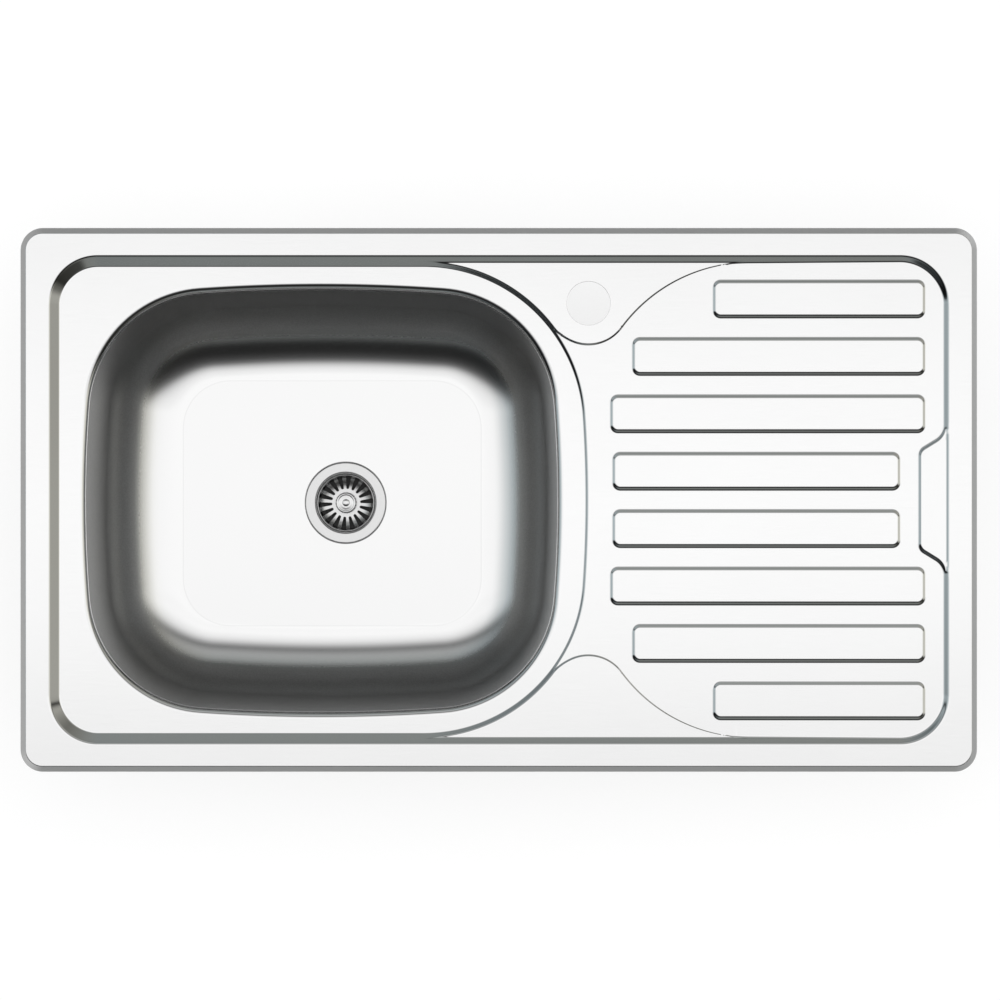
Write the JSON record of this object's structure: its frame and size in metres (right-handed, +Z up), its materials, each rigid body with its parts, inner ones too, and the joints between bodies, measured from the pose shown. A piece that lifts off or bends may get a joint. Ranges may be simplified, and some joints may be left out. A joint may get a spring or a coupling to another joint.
{
  "type": "kitchen sink with drainboard",
  "caption": "Inset stainless steel kitchen sink with one deep bowl, a tap ledge, a ribbed drainboard, a strainer waste with a lift-out basket and fixing clips under the rim.",
  "frame": {"origin": "on the worktop's top face, in the middle of the sink's outline", "axes": "+X from the bowl to the drainboard, +Y to the tap side, +Z up out of the worktop"},
  "size_m": [0.765, 0.435, 0.219],
  "materials": {
    "pressed_steel": "fine brushed stainless steel, satin",
    "bowl_steel": "drawn stainless steel, brushed satin",
    "foam_seal": "closed-cell foam",
    "damping_pad": "bitumen sheet, matt",
    "waste_steel": "pressed stainless steel, turned satin",
    "knob_steel": "turned and polished steel",
    "seal_rubber": "moulded rubber, matt",
    "waste_plastic": "moulded polypropylene",
    "brass": "machined",
    "screw_steel": "turned stainless steel",
    "zinc_steel": "zinc-plated steel"
  },
  "bodies": {
    "sink": {"deck": "pressed_steel", "bowl": "bowl_steel", "rim_seal": "foam_seal", "bowl_damping_pad": "damping_pad", "drainer_damping_pad": "damping_pad", "waste_flange": "waste_steel", "flange_seal": "seal_rubber", "body_seal": "seal_rubber", "waste_body": "waste_plastic", "screw_insert": "brass", "waste_screw": "screw_steel", "clip_lugs": "zinc_steel", "clip_nuts": "zinc_steel"},
    "strainer": {"strainer_basket": "waste_steel", "basket_knob": "knob_steel", "basket_stem": "knob_steel", "basket_stopper": "seal_rubber", "stopper_washer": "screw_steel"},
    "screw_1": {"clip_screw_1": "zinc_steel"},
    "jaw_1": {"clip_jaw_1": "zinc_steel"},
    "screw_2": {"clip_screw_2": "zinc_steel"},
    "jaw_2": {"clip_jaw_2": "zinc_steel"},
    "screw_3": {"clip_screw_3": "zinc_steel"},
    "jaw_3": {"clip_jaw_3": "zinc_steel"},
    "screw_4": {"clip_screw_4": "zinc_steel"},
    "jaw_4": {"clip_jaw_4": "zinc_steel"},
    "screw_5": {"clip_screw_5": "zinc_steel"},
    "jaw_5": {"clip_jaw_5": "zinc_steel"},
    "screw_6": {"clip_screw_6": "zinc_steel"},
    "jaw_6": {"clip_jaw_6": "zinc_steel"},
    "screw_7": {"clip_screw_7": "zinc_steel"},
    "jaw_7": {"clip_jaw_7": "zinc_steel"},
    "screw_8": {"clip_screw_8": "zinc_steel"},
    "jaw_8": {"clip_jaw_8": "zinc_steel"}
  },
  "joints": [
    {"name": "strainer_lift", "type": "slide", "parent": "sink", "child": "strainer", "axis": [0, 0, 1], "range_m": [-0.004, 0.2]},
    {"name": "clip_screw_1_travel", "type": "slide", "parent": "sink", "child": "screw_1", "axis": [0, 0, 1], "range_m": [0, 0.016]},
    {"name": "clip_jaw_1_turn", "type": "hinge", "parent": "screw_1", "child": "jaw_1", "pos_m": [-0.285, 0.20125, -0.052], "axis": [0, 0, 1], "range_deg": [0, 90]},
    {"name": "clip_screw_2_travel", "type": "slide", "parent": "sink", "child": "screw_2", "axis": [0, 0, 1], "range_m": [0, 0.016]},
    {"name": "clip_jaw_2_turn", "type": "hinge", "parent": "screw_2", "child": "jaw_2", "pos_m": [0, 0.20125, -0.052], "axis": [0, 0, 1], "range_deg": [0, 90]},
    {"name": "clip_screw_3_travel", "type": "slide", "parent": "sink", "child": "screw_3", "axis": [0, 0, 1], "range_m": [0, 0.016]},
    {"name": "clip_jaw_3_turn", "type": "hinge", "parent": "screw_3", "child": "jaw_3", "pos_m": [0.285, 0.20125, -0.052], "axis": [0, 0, 1], "range_deg": [0, 90]},
    {"name": "clip_screw_4_travel", "type": "slide", "parent": "sink", "child": "screw_4", "axis": [0, 0, 1], "range_m": [0, 0.016]},
    {"name": "clip_jaw_4_turn", "type": "hinge", "parent": "screw_4", "child": "jaw_4", "pos_m": [0.36575, 0, -0.052], "axis": [0, 0, 1], "range_deg": [0, 90]},
    {"name": "clip_screw_5_travel", "type": "slide", "parent": "sink", "child": "screw_5", "axis": [0, 0, 1], "range_m": [0, 0.016]},
    {"name": "clip_jaw_5_turn", "type": "hinge", "parent": "screw_5", "child": "jaw_5", "pos_m": [0.285, -0.20125, -0.052], "axis": [0, 0, 1], "range_deg": [0, 90]},
    {"name": "clip_screw_6_travel", "type": "slide", "parent": "sink", "child": "screw_6", "axis": [0, 0, 1], "range_m": [0, 0.016]},
    {"name": "clip_jaw_6_turn", "type": "hinge", "parent": "screw_6", "child": "jaw_6", "pos_m": [0, -0.20125, -0.052], "axis": [0, 0, 1], "range_deg": [0, 90]},
    {"name": "clip_screw_7_travel", "type": "slide", "parent": "sink", "child": "screw_7", "axis": [0, 0, 1], "range_m": [0, 0.016]},
    {"name": "clip_jaw_7_turn", "type": "hinge", "parent": "screw_7", "child": "jaw_7", "pos_m": [-0.285, -0.20125, -0.052], "axis": [0, 0, 1], "range_deg": [0, 90]},
    {"name": "clip_screw_8_travel", "type": "slide", "parent": "sink", "child": "screw_8", "axis": [0, 0, 1], "range_m": [0, 0.016]},
    {"name": "clip_jaw_8_turn", "type": "hinge", "parent": "screw_8", "child": "jaw_8", "pos_m": [-0.36575, 0, -0.052], "axis": [0, 0, 1], "range_deg": [0, 90]}
  ]
}
